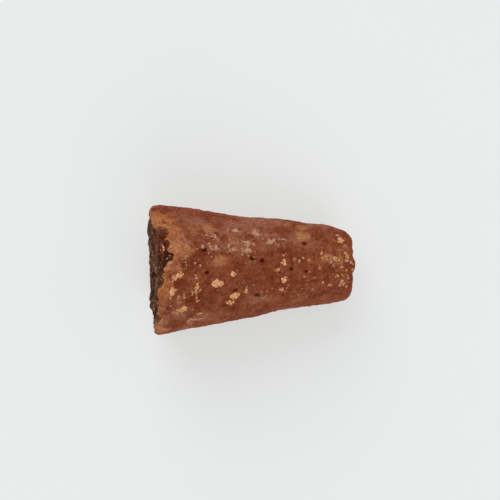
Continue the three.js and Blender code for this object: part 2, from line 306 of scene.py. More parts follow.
CRUMB_SPREAD = 0.42  # how far these spread from its middle, as a share of its size
LUMPS_IN_CRUMB = 5
LUMP_BREADTHS = (0.9, 0.45)  # share of a crumb's breadth for its middle lump, and its last one
LUMP_SPREAD = 0.3  # how far its last lump lies from the middle, as a share of its breadth
LUMP_TINTS = 0.2  # how far a lump's tint may be from its crumb's
LEAST_STRETCH = 0.6  # the least that a lump may measure one way, as a share of its breadth
CRUMB_JAG = 0.25  # how far the corners of a lump stand in or out, as a share of its size
GRAIN_JAG = 0.2
GRAIN_FADE = 2.5  # the higher, the fewer of the grains are pale

# Least and most breadth of the crumbs round a flake, of stray ones and of the fine grains
CRUMB_BREADTHS = (0.25, 0.75)
STRAY_BREADTHS = (0.25, 0.8)
GRAIN_BREADTHS = (0.12, 0.34)

# Stray crumbs and grains lie in clumps: how wide those are, how likely one lies between them, and
# from where to where in the random lumps that make them the likelihood rises
STRAY_CLUMP = 7
GRAIN_CLUMP = 5
CLUMP_REST = 0.15
CLUMP_EDGE = (-0.3, 0.7)

# Bubbles that opened on the surface: along, around, length, width, depth
BUBBLES = (
    (54.8, 30, 2.4, 2.3, 1.4),
    (38.4, 7, 2.5, 2.3, 1.4),
    (34.4, 9, 2.1, 1.8, 1.1),
    (17.3, 18, 2.8, 1.6, 1.1),
    (17.8, -4, 2.3, 1.6, 1),
    (36.4, -34, 2.6, 1.5, 1),
    (54.5, -8, 1.8, 1.4, 0.9),
    (49, -4, 1.7, 1.4, 0.9),
    (28.1, -24, 3.2, 1.1, 0.6),
)
PORE_FRAY = (0.14, 0.8)  # unevenness of a bubble's edge: share, size
PORE_WALL = 0.5  # share of a bubble's radius that its wall takes

STREWN_FLAKES = 17
STREWN_BUBBLES = 9
MOUTH_BUBBLES = 9
PINHOLES = 46
MOUTH_PINHOLES = 60
MOUTH_MARGIN = 4  # how far the bubbles of the wide face stay from the rim
STREWN_APART = 5.5
STREWN_FROM_ENDS = 6
STREWN_ASIDE = 10  # how far one may lie from its turn in the spiral, in degrees
LOWER_SIDE = (104, 152)  # where the strewn ones start, and how far round they go, in degrees
GOLDEN_ANGLE = 137.508

# Least and most size of what is drawn at random: length, width as a share of it, and thickness or
# depth, which for the bubbles is a share of the length too
STREWN_FLAKE = ((1.8, 4.6), (0.5, 0.9), (0.4, 0.75))
STREWN_BUBBLE = ((1.5, 2.7), (0.6, 1), (0.45, 0.65))
MOUTH_BUBBLE = ((1.8, 3.8), (0.7, 1), (0.35, 0.5))
PINHOLE = ((0.7, 1.3), (0.6, 1), (0.3, 0.6))
MOUTH_PINHOLE = ((0.8, 1.8), (0.4, 0.9))  # these are round
STREWN_TINTS = (0.2, 0.75)  # how pale the strewn flakes are
LOBE_TINTS = 0.3  # how far a lobe's tint may be from its flake's

# Where the random draws start, and how each draw follows from the one before
FIRST_DRAW = 4711
PINHOLE_SEED = 12
LOBE_SEED = 83
CRUMB_SEED = 37
GRAIN_SEED = 57
DRAW_FACTOR = 16807
DRAW_STATES = 2147483647

# How the random number of a lattice's corner follows from its place
LATTICE = (127.1, 311.7, 74.7)
LATTICE_SPREAD = 43758.5453

LEAST_RINGS = 6  # on each stretch of the outline, however short it is

# The stage: the white of the room, where the light behind and the one in front shine from, how
# many degrees of the sky each takes up, and half the breadth of the table in metres
ROOM_WHITE = (0.985, 1.0, 0.993)
KEY_PLACE = (-0.3, 1.0, 0.75)
FILL_PLACE = (0.3, -1.0, 0.75)
SUN_BREADTH = 50
TABLE_HALF = 2.0


class Draws:
    """Random numbers between two limits, the same on every run."""

    def __init__(self, start):
        self.state = start

    def between(self, low, high):
        self.state = self.state * DRAW_FACTOR % DRAW_STATES
        return low + (high - low) * self.state / DRAW_STATES


def smoothstep(value, low, high):
    t = np.clip((value - low) / (high - low), 0.0, 1.0)
    return t * t * (3 - 2 * t)


def corner(i, j, k):
    """A fixed random number from -1 to 1 for each corner of a lattice."""
    s = np.sin(i * LATTICE[0] + j * LATTICE[1] + k * LATTICE[2]) * LATTICE_SPREAD
    return 2 * (s - np.floor(s)) - 1


def lumps(points, size):
    """Smooth random lumps from -1 to 1, each about as wide as size."""
    scaled = points / size
    cell = np.floor(scaled)
    inside = scaled - cell
    ease = inside * inside * (3 - 2 * inside)
    total = np.zeros(len(points))
    for n in range(8):
        step = np.array([n & 1, n >> 1 & 1, n >> 2 & 1])
        weight = np.prod(np.where(step, ease, 1 - ease), axis=1)
        total += weight * corner(*(cell + step).T)
    return total


def layered(layers, points):
    """Lumps of several sizes on top of each other, each layer given as its height and size."""
    return sum(height * lumps(points, size) for height, size in layers)


def on_mouth(normals):
    """1 where the surface faces out of the mould's mouth, 0 where it faces sideways."""
    return smoothstep(-normals[:, 0], *MOUTH_FACING)


def drawn_bubble(draw, lengths, widths, depths):
    """A random length, width and depth, the last two drawn as shares of the length."""
    length = draw(*lengths)
    return length, length * draw(*widths), length * draw(*depths)


def turn_between(start, end):
    """The shorter way round from one angle to another, in degrees."""
    return (end - start + 180) % 360 - 180


def way_out(oval, down, across):
    """0 in the middle of an oval, 1 at its edge, and more beyond."""
    return np.hypot(2 * down / oval[2], 2 * across / oval[3])


class Cone:
    """The casting: its mould, its relief and its places, in millimetres, with the axis on +X."""

    def __init__(self, sizes):
        self.length = sizes.length / MM
        self.wide = sizes.wide_radius / MM
        self.narrow = sizes.narrow_radius / MM
        self.wide_edge = sizes.wide_edge / MM
        self.narrow_edge = sizes.narrow_edge / MM
        self.dish = sizes.mouth_dish / MM
        self.flat = sizes.flat_depth / MM
        self.grain = sizes.grain_strength
        self.taper = math.atan((self.wide - self.narrow) / self.length)
        self.draws = Draws(FIRST_DRAW)
        self.flakes = list(FLAKES)
        self.bubbles = list(BUBBLES)
        self.pinholes = []
        self.strew()
        self.pierce()

    def radius_at(self, along):
        return self.wide + (self.narrow - self.wide) * along / self.length

    def from_axis(self, points):
        return np.hypot(points[:, 1], points[:, 2])

    def around(self, points):
        return np.degrees(np.arctan2(points[:, 1], points[:, 2]))

    def on_side(self, points):
        """1 on the side of the cone, 0 towards the middle of its two faces."""
        return smoothstep(self.from_axis(points) / self.radius_at(points[:, 0]), *SIDE_FROM)

    def apart_from(self, place, points):
        """How far points are from a place on the side, along it and round it."""
        arc = np.radians(turn_between(place[1], self.around(points)))
        return points[:, 0] - place[0], arc * self.radius_at(place[0])

    def apart_on_mouth(self, place, points):
        """How far points are from a place on the wide face, outwards and round it."""
        turn = math.radians(place[1])
        out = points[:, 1] * math.sin(turn) + points[:, 2] * math.cos(turn) - place[0]
        return out, points[:, 1] * math.cos(turn) - points[:, 2] * math.sin(turn)

    def way_out_on_side(self, mark, points):
        """How far out in an oval mark on the side points lie: 0 in its middle, 1 at its edge."""
        return way_out(mark, *self.apart_from(mark, points))

    def share(self, mark, points):
        """1 in the middle of an oval mark on the side, 0 at its edge and beyond."""
        return smoothstep(1 - self.way_out_on_side(mark, points), 0, 1)

    def cover(self, marks, points, reach=1.0):
        """How near each point is to the middle of the nearest mark: 1 there, 0 at its edge."""
        near = [1 - self.way_out_on_side(mark, points) / reach for mark in marks]
        return np.maximum(np.max(near, axis=0), 0) * self.on_side(points)

    def cover_face(self, marks, points):
        """The same for marks on the wide face."""
        near = [1 - way_out(mark, *self.apart_on_mouth(mark, points)) for mark in marks]
        return np.maximum(np.max(near, axis=0), 0)

    def from_rim(self, points):
        return np.maximum(points[:, 0], self.wide - self.from_axis(points))

    def from_foot(self, points):
        return np.maximum(self.length - points[:, 0], self.narrow - self.from_axis(points))

    def risen(self, rises, from_edge, points):
        """How far the edge of an end stands out at each point, by a list of rises."""
        near = 1 - smoothstep(from_edge, 0, RISE_REACH)
        climb = np.zeros(len(points))
        for centre, width, rise in rises:
            aside = np.abs(2 * turn_between(centre, self.around(points))) / width
            climb += rise * smoothstep(1 - aside, 0, 1)
        return near * climb

    def stretched(self, points):
        """How far the ends have moved at each point, towards the narrow one."""
        foot = self.risen(END_RISES, self.from_foot(points), points)
        return foot - self.risen(RIM_RISES, self.from_rim(points), points)

    def bitten(self, points):
        """How deep the bites out of the rim are at each point, and how far inside one it is."""
        around = self.around(points)
        from_rim = self.from_rim(points)
        fray = layered(BITE_FRAY, points)
        depth = np.zeros(len(points))
        inside = np.zeros(len(points))
        for centre, width, reach, deep in BITES:
            aside = 2 * turn_between(centre, around) / width
            here = 1 - np.hypot(from_rim / reach, aside) + fray
            deeper = deep * (1 + BITE_SLOPE * here)
            depth = np.maximum(depth, deeper * smoothstep(here, *BITE_EDGE))
            inside = np.maximum(inside, here)
        return depth, inside

    def crusted(self, points):
        """How thick the crust is at each point."""
        fray = layered(CRUST_FRAY, points)
        thick = np.zeros(len(points))
        for crust in CRUSTS:
            here = np.sqrt(self.share(crust, points)) + fray
            thick = np.maximum(thick, crust[4] * smoothstep(here, *CRUST_EDGE))
        return thick * self.on_side(points)

    def crust_nearness(self, points):
        """1 well inside the crust by the rim, 0 well outside, with a tattered edge at a half."""
        around, reach = np.transpose(CRUST_REACHES)
        inside = np.interp(self.around(points), around, reach) - points[:, 0]
        near = 0.5 + inside / CRUST_FADE + layered(CRUST_TATTERS, points)
        return np.clip(near, 0, 1) * self.on_side(points)

    def relief(self, points, normals):
        """How far the surface stands out of the mould's shape, along its normal."""
        uneven = layered(SWELLS, points) * (1 + (MOUTH_ROUGHNESS - 1) * on_mouth(normals))
        hollow = sum(mark[4] * self.share(mark, points) for mark in HOLLOWS)
        shaped = self.crusted(points) - self.on_side(points) * hollow - self.bitten(points)[0]
        return uneven + shaped

    def site(self, along, around):
        """A point on the real surface, its outward normal and the direction along the cone."""
        turn = math.radians(around)
        outward = np.array(
            [
                math.sin(self.taper),
                math.cos(self.taper) * math.sin(turn),
                math.cos(self.taper) * math.cos(turn),
            ]
        )
        radius = self.radius_at(along)
        point = np.array([[along, radius * math.sin(turn), radius * math.cos(turn)]])
        point = point + self.relief(point, outward[None]) * outward
        ahead = np.array([1.0, 0.0, 0.0]) - outward * outward[0]
        return point[0], outward, ahead / np.linalg.norm(ahead)

    def strewn_places(self, count, taken):
        """Places in a spiral, no nearer than allowed to each other and to those taken."""
        places = []
        n = 0
        while len(places) < count:
            along = self.draws.between(STREWN_FROM_ENDS, self.length - STREWN_FROM_ENDS)
            turn = LOWER_SIDE[0] + n * GOLDEN_ANGLE % LOWER_SIDE[1]
            around = turn_between(0, turn + self.draws.between(-STREWN_ASIDE, STREWN_ASIDE))
            point = self.site(along, around)[0][None]
            apart = [np.hypot(*self.apart_from(t, point))[0] for t in (*taken, *places)]
            if min(apart) >= STREWN_APART:
                places.append((along, around))
            n += 1
        return places

    def strew(self):
        """Adds the flakes and the bubbles that have no place of their own."""
        draw = self.draws.between
        lengths, widths, heights = STREWN_FLAKE
        for place in self.strewn_places(STREWN_FLAKES, self.flakes + self.bubbles):
            length = draw(*lengths)
            shape = (length, length * draw(*widths), draw(*heights))
            self.flakes.append((*place, *shape, draw(0, 180)))
        for place in self.strewn_places(STREWN_BUBBLES, self.flakes + self.bubbles):
            self.bubbles.append((*place, *drawn_bubble(draw, *STREWN_BUBBLE)))

    def pierce(self):
        """Adds the bubbles of the wide face, and the pinholes that are too small to model alone."""
        draw = self.draws.between
        self.mouth_bubbles = []
        for n in range(MOUTH_BUBBLES):
            radius = (self.wide - MOUTH_MARGIN) * math.sqrt((n + 0.5) / MOUTH_BUBBLES)
            shape = drawn_bubble(draw, *MOUTH_BUBBLE)
            self.mouth_bubbles.append((radius, n * GOLDEN_ANGLE, *shape))
        draw = Draws(PINHOLE_SEED).between
        breadths, widths, depths = PINHOLE
        for _ in range(PINHOLES):
            breadth = draw(*breadths)
            place = (draw(1, self.length - 1), draw(-180, 180))
            self.pinholes.append((*place, breadth, breadth * draw(*widths), draw(*depths)))
        breadths, depths = MOUTH_PINHOLE
        for _ in range(MOUTH_PINHOLES):
            breadth = draw(*breadths)
            place = ((self.wide - MOUTH_MARGIN / 2) * math.sqrt(draw(0, 1)), draw(-180, 180))
            self.mouth_bubbles.append((*place, breadth, breadth, draw(*depths)))

    def profile(self, pitch):
        """Mould outline as (radius, along) points, no further apart than pitch."""
        wide = np.array([self.wide, 0.0])
        narrow = np.array([self.narrow, self.length])
        down = (narrow - wide) / np.linalg.norm(narrow - wide)
        rim = (wide - [self.wide_edge, 0], wide, wide + down * self.wide_edge)
        foot = (narrow - down * self.narrow_edge, narrow, narrow - [self.narrow_edge, 0])
        middle, end = np.array([0.0, 0.0]), np.array([0.0, self.length])
        lines = (
            (middle, (middle + rim[0]) / 2, rim[0]),
            rim,
            (rim[2], (rim[2] + foot[0]) / 2, foot[0]),
            foot,
            (foot[2], (foot[2] + end) / 2, end),
        )
        points = []
        for first, bend, last in lines:
            steps = max(LEAST_RINGS, math.ceil(np.linalg.norm(last - first) / pitch))
            t = np.linspace(0, 1, steps, endpoint=False)[:, None]
            points.append((1 - t) ** 2 * first + 2 * t * (1 - t) * bend + t * t * last)
        return np.vstack([*points, end[None]])

    def to_row(self, points):
        """Millimetres on the cone to metres on the table, with the cone tipped on its side."""
        s, c = math.sin(self.taper), math.cos(self.taper)
        x = points[:, 0] * c + points[:, 2] * s + MOUTH_CENTRE_MM[0]
        y = points[:, 1] + MOUTH_CENTRE_MM[1]
        z = points[:, 2] * c - points[:, 0] * s + self.wide * c - self.flat
        return np.stack([x, y, np.maximum(z, 0.0)], axis=1) * MM


def new_object(name, vertices, faces, material):
    """Makes a smooth mesh object from an array of vertices and a list of faces."""
    mesh = bpy.data.meshes.new(name)
    mesh.from_pydata(vertices.tolist(), [], faces)
    mesh.polygons.foreach_set("use_smooth", np.ones(len(mesh.polygons), bool))
    mesh.materials.append(material)
    mesh.update()
    made = bpy.data.objects.new(name, mesh)
    bpy.context.scene.collection.objects.link(made)
    return made


def add_field(mesh, name, values):
    """Keeps one number for each vertex, for the material to read."""
    field = mesh.attributes.new(name, "FLOAT", "POINT")
    field.data.foreach_set("value", np.asarray(values, np.float32))


def ring_faces(rings, around):
    """Quads between rings of vertices, and a fan at each end that closes them."""
    ring = np.arange(around)
    after = (ring + 1) % around
    quads = []
    for n in range(rings - 1):
        low, high = 1 + n * around, 1 + (n + 1) * around
        quads.append(np.stack([low + ring, high + ring, high + after, low + after], axis=1))
    last = 1 + (rings - 1) * around
    first_fan = np.stack([np.zeros(around, int), 1 + ring, 1 + after], axis=1)
    last_fan = np.stack([np.full(around, last + around), last + after, last + ring], axis=1)
    return np.vstack(quads).tolist() + first_fan.tolist() + last_fan.tolist()


def mould_points(cone, pitch, around):
    """The mould's surface as rings of points, with its normals and a point at each end."""
    profile = cone.profile(pitch)
    tangent = np.gradient(profile, axis=0)
    tangent /= np.linalg.norm(tangent, axis=1)[:, None]
    turn = np.linspace(0, 2 * math.pi, around, endpoint=False)
    sin, cos = np.sin(turn)[None], np.cos(turn)[None]
    radius, along = profile[1:-1, :1], profile[1:-1, 1:]
    out, ahead = tangent[1:-1, 1:], -tangent[1:-1, :1]
    even = np.ones_like(sin)
    points = np.stack([along * even, radius * sin, radius * cos], axis=2).reshape(-1, 3)
    normals = np.stack([ahead * even, out * sin, out * cos], axis=2).reshape(-1, 3)
    ends = np.array([[0.0, 0, 0], [cone.length, 0, 0]])
    points = np.vstack([ends[:1], points, ends[1:]])
    normals = np.vstack([[[-1.0, 0, 0]], normals, [[1.0, 0, 0]]])
    return points, normals, len(profile) - 2


def pores(cone, points, mouth):
    """How deep the open bubbles are at each point, and how far inside one it is."""
    frayed = layered((PORE_FRAY,), points)
    side = (1 - mouth) * smoothstep(cone.from_axis(points), cone.narrow / 2, cone.narrow)
    depth = np.zeros(len(points))
    inside = np.zeros(len(points))
    for bubbles, apart, share in (
        (cone.bubbles + cone.pinholes, cone.apart_from, side),
        (cone.mouth_bubbles, cone.apart_on_mouth, mouth),
    ):
        for bubble in bubbles:
            here = share * (1 - way_out(bubble, *apart(bubble, points)) - frayed)
            depth = np.maximum(depth, bubble[4] * smoothstep(here, 0, PORE_WALL))
            inside = np.maximum(inside, here)
    return depth, inside


def body_surface(cone, points, normals):
    """Pushes mould points out to the real surface, and tells what covers each of them and where
    light and shade are painted on it.
    """
    faced = -normals[:, 0]
    bowl = 1 - (cone.from_axis(points) / cone.wide) ** 2
    sunk = cone.dish * smoothstep(faced, *DISH_FACING) * bowl
    scuff = cone.cover(SCUFFS, points)
    grain = layered(FINE_GRAIN, points) * (1 + SCUFF_ROUGHNESS * np.sqrt(scuff))
    pore_depth, in_pore = pores(cone, points, on_mouth(normals))
    in_bite = np.maximum(cone.bitten(points)[1], cone.cover(TORN, points))
    worn = smoothstep(cone.cover(WORN, points), *WORN_EDGE)
    face = np.maximum(smoothstep(faced, *BROWN_FACING), worn)
    shade = face * cone.cover_face(FACE_SHADES, points)
    broken = np.maximum(face, smoothstep(in_bite, *TORN_EDGE))
    torn = broken * layered(TORN_GRAIN, points)
    height = cone.relief(points, normals) + cone.grain * (grain + torn)
    height -= sunk + pore_depth
    fields = {
        "crust": cone.crust_nearness(points) - cone.cover(BARE, points),
        "smear": cone.cover(SMEARS, points),
        # bloom marks, partly painted sheen along the upper side
        "bloom": cone.cover(BLOOMS_AND_SHEEN, points),
        "scuff": scuff,
        "dust": cone.cover(cone.flakes, points, DUST_REACH),
        "broken": broken,
        "face": face * (1 - smoothstep(in_bite, *BROWN_EDGE)),
        "stain": face * cone.cover_face(FACE_STAINS, points),
        # painted shade: the deepest parts of the bites and the wide face below them
        "painted_shade": np.maximum(cone.cover(SHADES, points), shade),
        "pore": in_pore,
        # how high the grain stands, which the colours use to paint light on its bumps
        "lit_raised_grain": 0.5 + grain / GRAIN_SPAN + torn / TORN_SPAN,
    }
    moved = points + normals * height[:, None]
    moved[:, 0] += cone.stretched(points)
    return moved, fields


def ball_of_triangles(subdivisions):
    """A ball's points, which all lie at a distance of one from its middle, and its faces."""
    ball = bmesh.new()
    bmesh.ops.create_icosphere(ball, subdivisions=subdivisions, radius=1)
    points = np.array([v.co for v in ball.verts])
    faces = np.array([[v.index for v in f.verts] for f in ball.faces])
    ball.free()
    return points, faces


def flake_lobes(cone, ball, flake, draw):
    """One flake: a crumbly heap of jagged lobes that lies on the side of the cone."""
    along, around, length, width, thick, turn = flake[:6]
    point, outward, ahead = cone.site(along, around)
    across = np.cross(outward, ahead)
    s, c = math.sin(math.radians(turn)), math.cos(math.radians(turn))
    count = max(3, round(LOBES_PER_MM * length))
    lobes = []
    for n in range(count):
        spread = LOBE_SPREAD * math.sqrt((n + 0.5) / count)
        swing = math.radians(n * GOLDEN_ANGLE + draw(-LOBE_SWING, LOBE_SWING))
        middle = np.array([length * math.cos(swing), width * math.sin(swing), 0]) * spread / 2
        breadth = width * draw(*LOBE_BREADTH)
        stretched = breadth * draw(*LOBE_STRETCH)
        height = thick * draw(*LOBE_HEIGHT) * (1 - LOBE_FALL * spread)
        ragged = 1 + layered((LOBE_RAGGED,), ball + point + n)
        lobe = ball * ragged[:, None] * [stretched / 2, breadth / 2, height] + middle
        lobe += ball * layered((LOBE_GRAIN,), lobe + point)[:, None]
        x = lobe[:, 0] * c - lobe[:, 1] * s
        y = lobe[:, 0] * s + lobe[:, 1] * c
        lobes.append(point + x[:, None] * ahead + y[:, None] * across + lobe[:, 2:] * outward)
    return lobes


def surface_samples(body, count, rng, clump):
    """Random places on a mesh, in metres, in clumps about as wide as clump, in millimetres."""
    mesh = body.data
    mesh.calc_loop_triangles()
    corners = np.zeros(len(mesh.loop_triangles) * 3, np.int32)
    mesh.loop_triangles.foreach_get("vertices", corners)
    places = np.zeros(len(mesh.vertices) * 3, np.float32)
    mesh.vertices.foreach_get("co", places)
    a, b, c = places.reshape(-1, 3).astype(float)[corners.reshape(-1, 3)].transpose(1, 0, 2)
    area = np.linalg.norm(np.cross(b - a, c - a), axis=1)
    chance = area * (CLUMP_REST + smoothstep(lumps(a / MM, clump), *CLUMP_EDGE))
    chosen = rng.choice(len(area), count, p=chance / chance.sum())
    u, v = rng.random((2, count))
    over = u + v > 1
    u[over], v[over] = 1 - u[over], 1 - v[over]
    return a[chosen] + u[:, None] * (b - a)[chosen] + v[:, None] * (c - a)[chosen]


def settled(body, places):
    """Moves places, in metres, to the nearest points of a mesh."""
    return np.array([body.closest_point_on_mesh(Vector(place))[1] for place in places])


def scattered_round(cone, mark, count, spread, rng):
    """Places on the mould's side round the middle of an oval mark, in metres."""
    offset = rng.normal(0, spread, (count, 2)) * [mark[2], mark[3]]
    along = np.clip(mark[0] + offset[:, 0], 1, cone.length - 1)
    turn = np.radians(mark[1]) + offset[:, 1] / cone.radius_at(mark[0])
    radius = cone.radius_at(along)
    return cone.to_row(np.stack([along, radius * np.sin(turn), radius * np.cos(turn)], axis=1))


def random_turns(rng, count):
    """Rotation matrices that turn each small thing its own way."""
    quaternion = rng.normal(size=(count, 4))
    quaternion /= np.linalg.norm(quaternion, axis=1)[:, None]
    w, x, y, z = quaternion.T
    rows = (
        (1 - 2 * (y * y + z * z), 2 * (x * y - w * z), 2 * (x * z + w * y)),
        (2 * (x * y + w * z), 1 - 2 * (x * x + z * z), 2 * (y * z - w * x)),
        (2 * (x * z - w * y), 2 * (y * z + w * x), 1 - 2 * (x * x + y * y)),
    )
    return np.stack([np.stack(row, axis=1) for row in rows], axis=1)


def crumbled(body, places, sizes, tints, rng):
    """Breaks each crumb up into a middle lump and smaller ones round it that lie on the mesh."""
    breadths = np.tile(np.linspace(*LUMP_BREADTHS, LUMPS_IN_CRUMB), len(places))
    spread = np.tile(np.linspace(0, LUMP_SPREAD, LUMPS_IN_CRUMB), len(places))
    places = np.repeat(places, LUMPS_IN_CRUMB, axis=0)
    sizes = np.repeat(sizes, LUMPS_IN_CRUMB)
    tints = np.repeat(tints, LUMPS_IN_CRUMB) + rng.uniform(-LUMP_TINTS, LUMP_TINTS, len(places))
    offset = rng.normal(size=places.shape) * (spread * sizes)[:, None]
    return settled(body, places + offset), sizes * breadths, tints


def strewn_mesh(name, places, sizes, tints, rng, jag, material):
    """One mesh of many small things: a jagged lump of its own size and tint at each place."""
    ball, faces = ball_of_triangles(1)
    count = len(places)
    swell = 1 + jag * rng.uniform(-1, 1, (count, len(ball), 1))
    stretch = rng.uniform(LEAST_STRETCH, 1, (count, 1, 3))
    local = ball[None] * swell * stretch * (sizes / 2)[:, None, None]
    turned = np.einsum("nij,nkj->nki", random_turns(rng, count), local)
    vertices = (turned + places[:, None]).reshape(-1, 3)
    vertices[:, 2] = np.maximum(vertices[:, 2], 0)
    shifted = faces[None] + (np.arange(count) * len(ball))[:, None, None]
    made = new_object(name, vertices, shifted.reshape(-1, 3).tolist(), material)
    add_field(made.data, "tint", np.repeat(tints, len(ball)))
    return made


class Nodes:
    """Short ways to add nodes to one tree and to join them."""

    def __init__(self, tree):
        self.tree = tree

    def add(self, kind, **settings):
        node = self.tree.nodes.new(kind)
        for name, value in settings.items():
            setattr(node, name, value)
        return node

    def feed(self, socket, value):
        """Joins an output to a socket, or sets the socket to a plain value."""
        if isinstance(value, bpy.types.NodeSocket):
            self.tree.links.new(value, socket)
        else:
            socket.default_value = value

    def math(self, operation, first, second=0.0):
        node = self.add("ShaderNodeMath", operation=operation)
        self.feed(node.inputs[0], first)
        self.feed(node.inputs[1], second)
        return node.outputs[0]

    def weighed(self, *parts, start=0.0):
        """Adds up values, each given with its weight, on top of a start."""
        total = start
        for value, weight in parts:
            total = self.math("ADD", self.math("MULTIPLY", value, weight), total)
        return total

    def step(self, value, low, high):
        """0 below low, 1 above high, and a soft rise between."""
        node = self.add("ShaderNodeMapRange", interpolation_type="SMOOTHSTEP")
        self.feed(node.inputs["Value"], value)
        self.feed(node.inputs["From Min"], low)
        self.feed(node.inputs["From Max"], high)
        return node.outputs["Result"]

    def noise(self, size, detail=2.0, roughness=0.5, shift=0.0, stretch=1.0):
        """Cloudy noise whose clouds are about as wide as size, in metres, and longer along X."""
        moved = self.add("ShaderNodeVectorMath", operation="MULTIPLY_ADD")
        self.feed(moved.inputs[0], self.add("ShaderNodeTexCoord").outputs["Object"])
        moved.inputs[1].default_value = (1 / stretch, 1, 1)
        moved.inputs[2].default_value = (shift, shift, shift)
        node = self.add("ShaderNodeTexNoise")
        self.feed(node.inputs["Vector"], moved.outputs[0])
        self.feed(node.inputs["Scale"], self.math("DIVIDE", 1.0, size))
        node.inputs["Detail"].default_value = detail
        node.inputs["Roughness"].default_value = roughness
        return node.outputs["Fac"]

    def blotches(self, size, low, high, **look):
        """Soft blotches about as wide as size: 1 where such a noise is above high, 0 below low."""
        return self.step(self.noise(size, **look), low, high)

    def field(self, name):
        """One of the numbers that the mesh keeps for each vertex."""
        return self.add("ShaderNodeAttribute", attribute_name=name).outputs["Fac"]

    def mix(self, share, first, second, blend="MIX"):
        node = self.add("ShaderNodeMix", data_type="RGBA", blend_type=blend)
        self.feed(node.inputs["Factor"], share)
        self.feed(node.inputs["A"], first)
        self.feed(node.inputs["B"], second)
        return node.outputs["Result"]

    def ramp(self, value, *stops):
        """Runs a value through colours, each given after the value at which it is reached."""
        node = self.add("ShaderNodeValToRGB")
        self.feed(node.inputs["Fac"], value)
        elements = node.color_ramp.elements
        while len(elements) < len(stops):
            elements.new(1.0)
        for element, (position, colour) in zip(elements, stops):
            element.position = position
            element.color = opaque(colour)
        return node.outputs["Color"]

    def group(self, tree, **values):
        """Places a node group and sets its inputs, whose names have _ for each space."""
        node = self.add("ShaderNodeGroup", node_tree=tree)
        for name, value in values.items():
            self.feed(node.inputs[name.replace("_", " ")], value)
        return node.outputs

    def lay(self, colour, over, share, where):
        """Lays one colour over another, as thick as share, where a mask lies."""
        return self.mix(self.math("MULTIPLY", where, share), colour, opaque(over))

    def patch(self, field, fray_size, fray, start, softness):
        """A patch where a field of the mesh is above start, with an edge frayed by grains."""
        return self.group(
            ragged_patch_group(),
            Nearness=self.field(field),
            Fray_size=fray_size,
            Fray=fray,
            Start=start,
            Softness=softness,
        )["Patch"]


def shader_group(name, inputs, outputs):
    """A new shader node group with float sockets, given as names with their defaults."""
    tree = bpy.data.node_groups.new(name, "ShaderNodeTree")
    for socket, value in inputs.items():
        made = tree.interface.new_socket(socket, in_out="INPUT", socket_type="NodeSocketFloat")
        made.default_value = value
    for socket in outputs:
        tree.interface.new_socket(socket, in_out="OUTPUT", socket_type="NodeSocketFloat")
    nodes = Nodes(tree)
    return nodes, nodes.add("NodeGroupInput").outputs, nodes.add("NodeGroupOutput").inputs


def sugar_grain_group():
    """Crystals of two sizes: their height, their brightness, and where dark gaps lie between."""
    name = "Sugar grain"
    if name in bpy.data.node_groups:
        return bpy.data.node_groups[name]
    inputs = {"Coarse size": 0.0011, "Fine size": 0.0004, "Contrast": 1.0}
    nodes, given, made = shader_group(name, inputs, ("Height", "Tone", "Dark"))
    coarse = nodes.noise(given["Coarse size"], detail=3.0, roughness=0.6)
    fine = nodes.noise(given["Fine size"], roughness=0.7, shift=0.3)
    both = nodes.weighed((coarse, 0.5), (fine, 0.5))
    swing = nodes.math("MULTIPLY", nodes.math("SUBTRACT", both, 0.5), given["Contrast"])
    nodes.feed(made["Height"], both)
    nodes.feed(made["Tone"], nodes.math("ADD", swing, 1.0))
    nodes.feed(made["Dark"], nodes.step(both, 0.43, 0.34))
    return nodes.tree


def ragged_patch_group():
    """A patch whose edge is frayed by grains: 1 where it lies and 0 elsewhere."""
    name = "Ragged patch"
    if name in bpy.data.node_groups:
        return bpy.data.node_groups[name]
    inputs = {"Nearness": 0.0, "Fray size": 0.001, "Fray": 0.6, "Start": 0.4, "Softness": 0.1}
    nodes, given, made = shader_group(name, inputs, ("Patch",))
    grains = nodes.noise(given["Fray size"], detail=4.0, roughness=0.65, shift=0.7)
    frayed = nodes.math("MULTIPLY", nodes.math("SUBTRACT", grains, 0.5), given["Fray"])
    near = nodes.math("ADD", given["Nearness"], frayed)
    inside = nodes.step(near, given["Start"], nodes.math("ADD", given["Start"], given["Softness"]))
    there = nodes.step(given["Nearness"], 0.0, 0.08)
    nodes.feed(made["Patch"], nodes.math("MULTIPLY", inside, there))
    return nodes.tree


def new_material(name, gloss):
    """A material with a Principled shader, and its nodes."""
    material = bpy.data.materials.new(name)
    material.use_nodes = True
    shader = material.node_tree.nodes["Principled BSDF"]
    shader.inputs["Specular IOR Level"].default_value = gloss
    return material, Nodes(material.node_tree), shader


def roughen(nodes, shader, height, depth):
    """Feeds the height of the grain, as deep as depth in metres, to roughness and normal."""
    nodes.feed(shader.inputs["Roughness"], nodes.weighed((height, 0.4), start=0.5))
    bump = nodes.add("ShaderNodeBump")
    bump.inputs["Distance"].default_value = depth
    nodes.feed(bump.inputs["Height"], height)
    nodes.feed(shader.inputs["Normal"], bump.outputs["Normal"])


def opaque(colour):
    return (*colour, 1.0)


def cast_colour(nodes, colours):
    """The brown of the casting, with its clouds, its drag marks and its redder places."""
    cloud = nodes.noise(0.009, detail=6.0, roughness=0.86)
    drag = nodes.noise(0.0012, detail=3.0, roughness=0.7, shift=2.3, stretch=5.0)
    # a little paler where the grain stands high: painted light on its bumps
    colour = nodes.ramp(
        nodes.weighed((cloud, 1.0), (drag, 0.2), (nodes.field("lit_raised_grain"), 0.06), start=-0.13),
        (0.37, colours.body_dark),
        (0.5, colours.body_mid),
        (0.59, colours.body_light),
        (0.68, colours.body_pale),
    )
    red = nodes.blotches(0.004, 0.46, 0.6, detail=4.0, roughness=0.75, shift=0.9)
    return nodes.lay(colour, colours.body_red, 0.55, red)


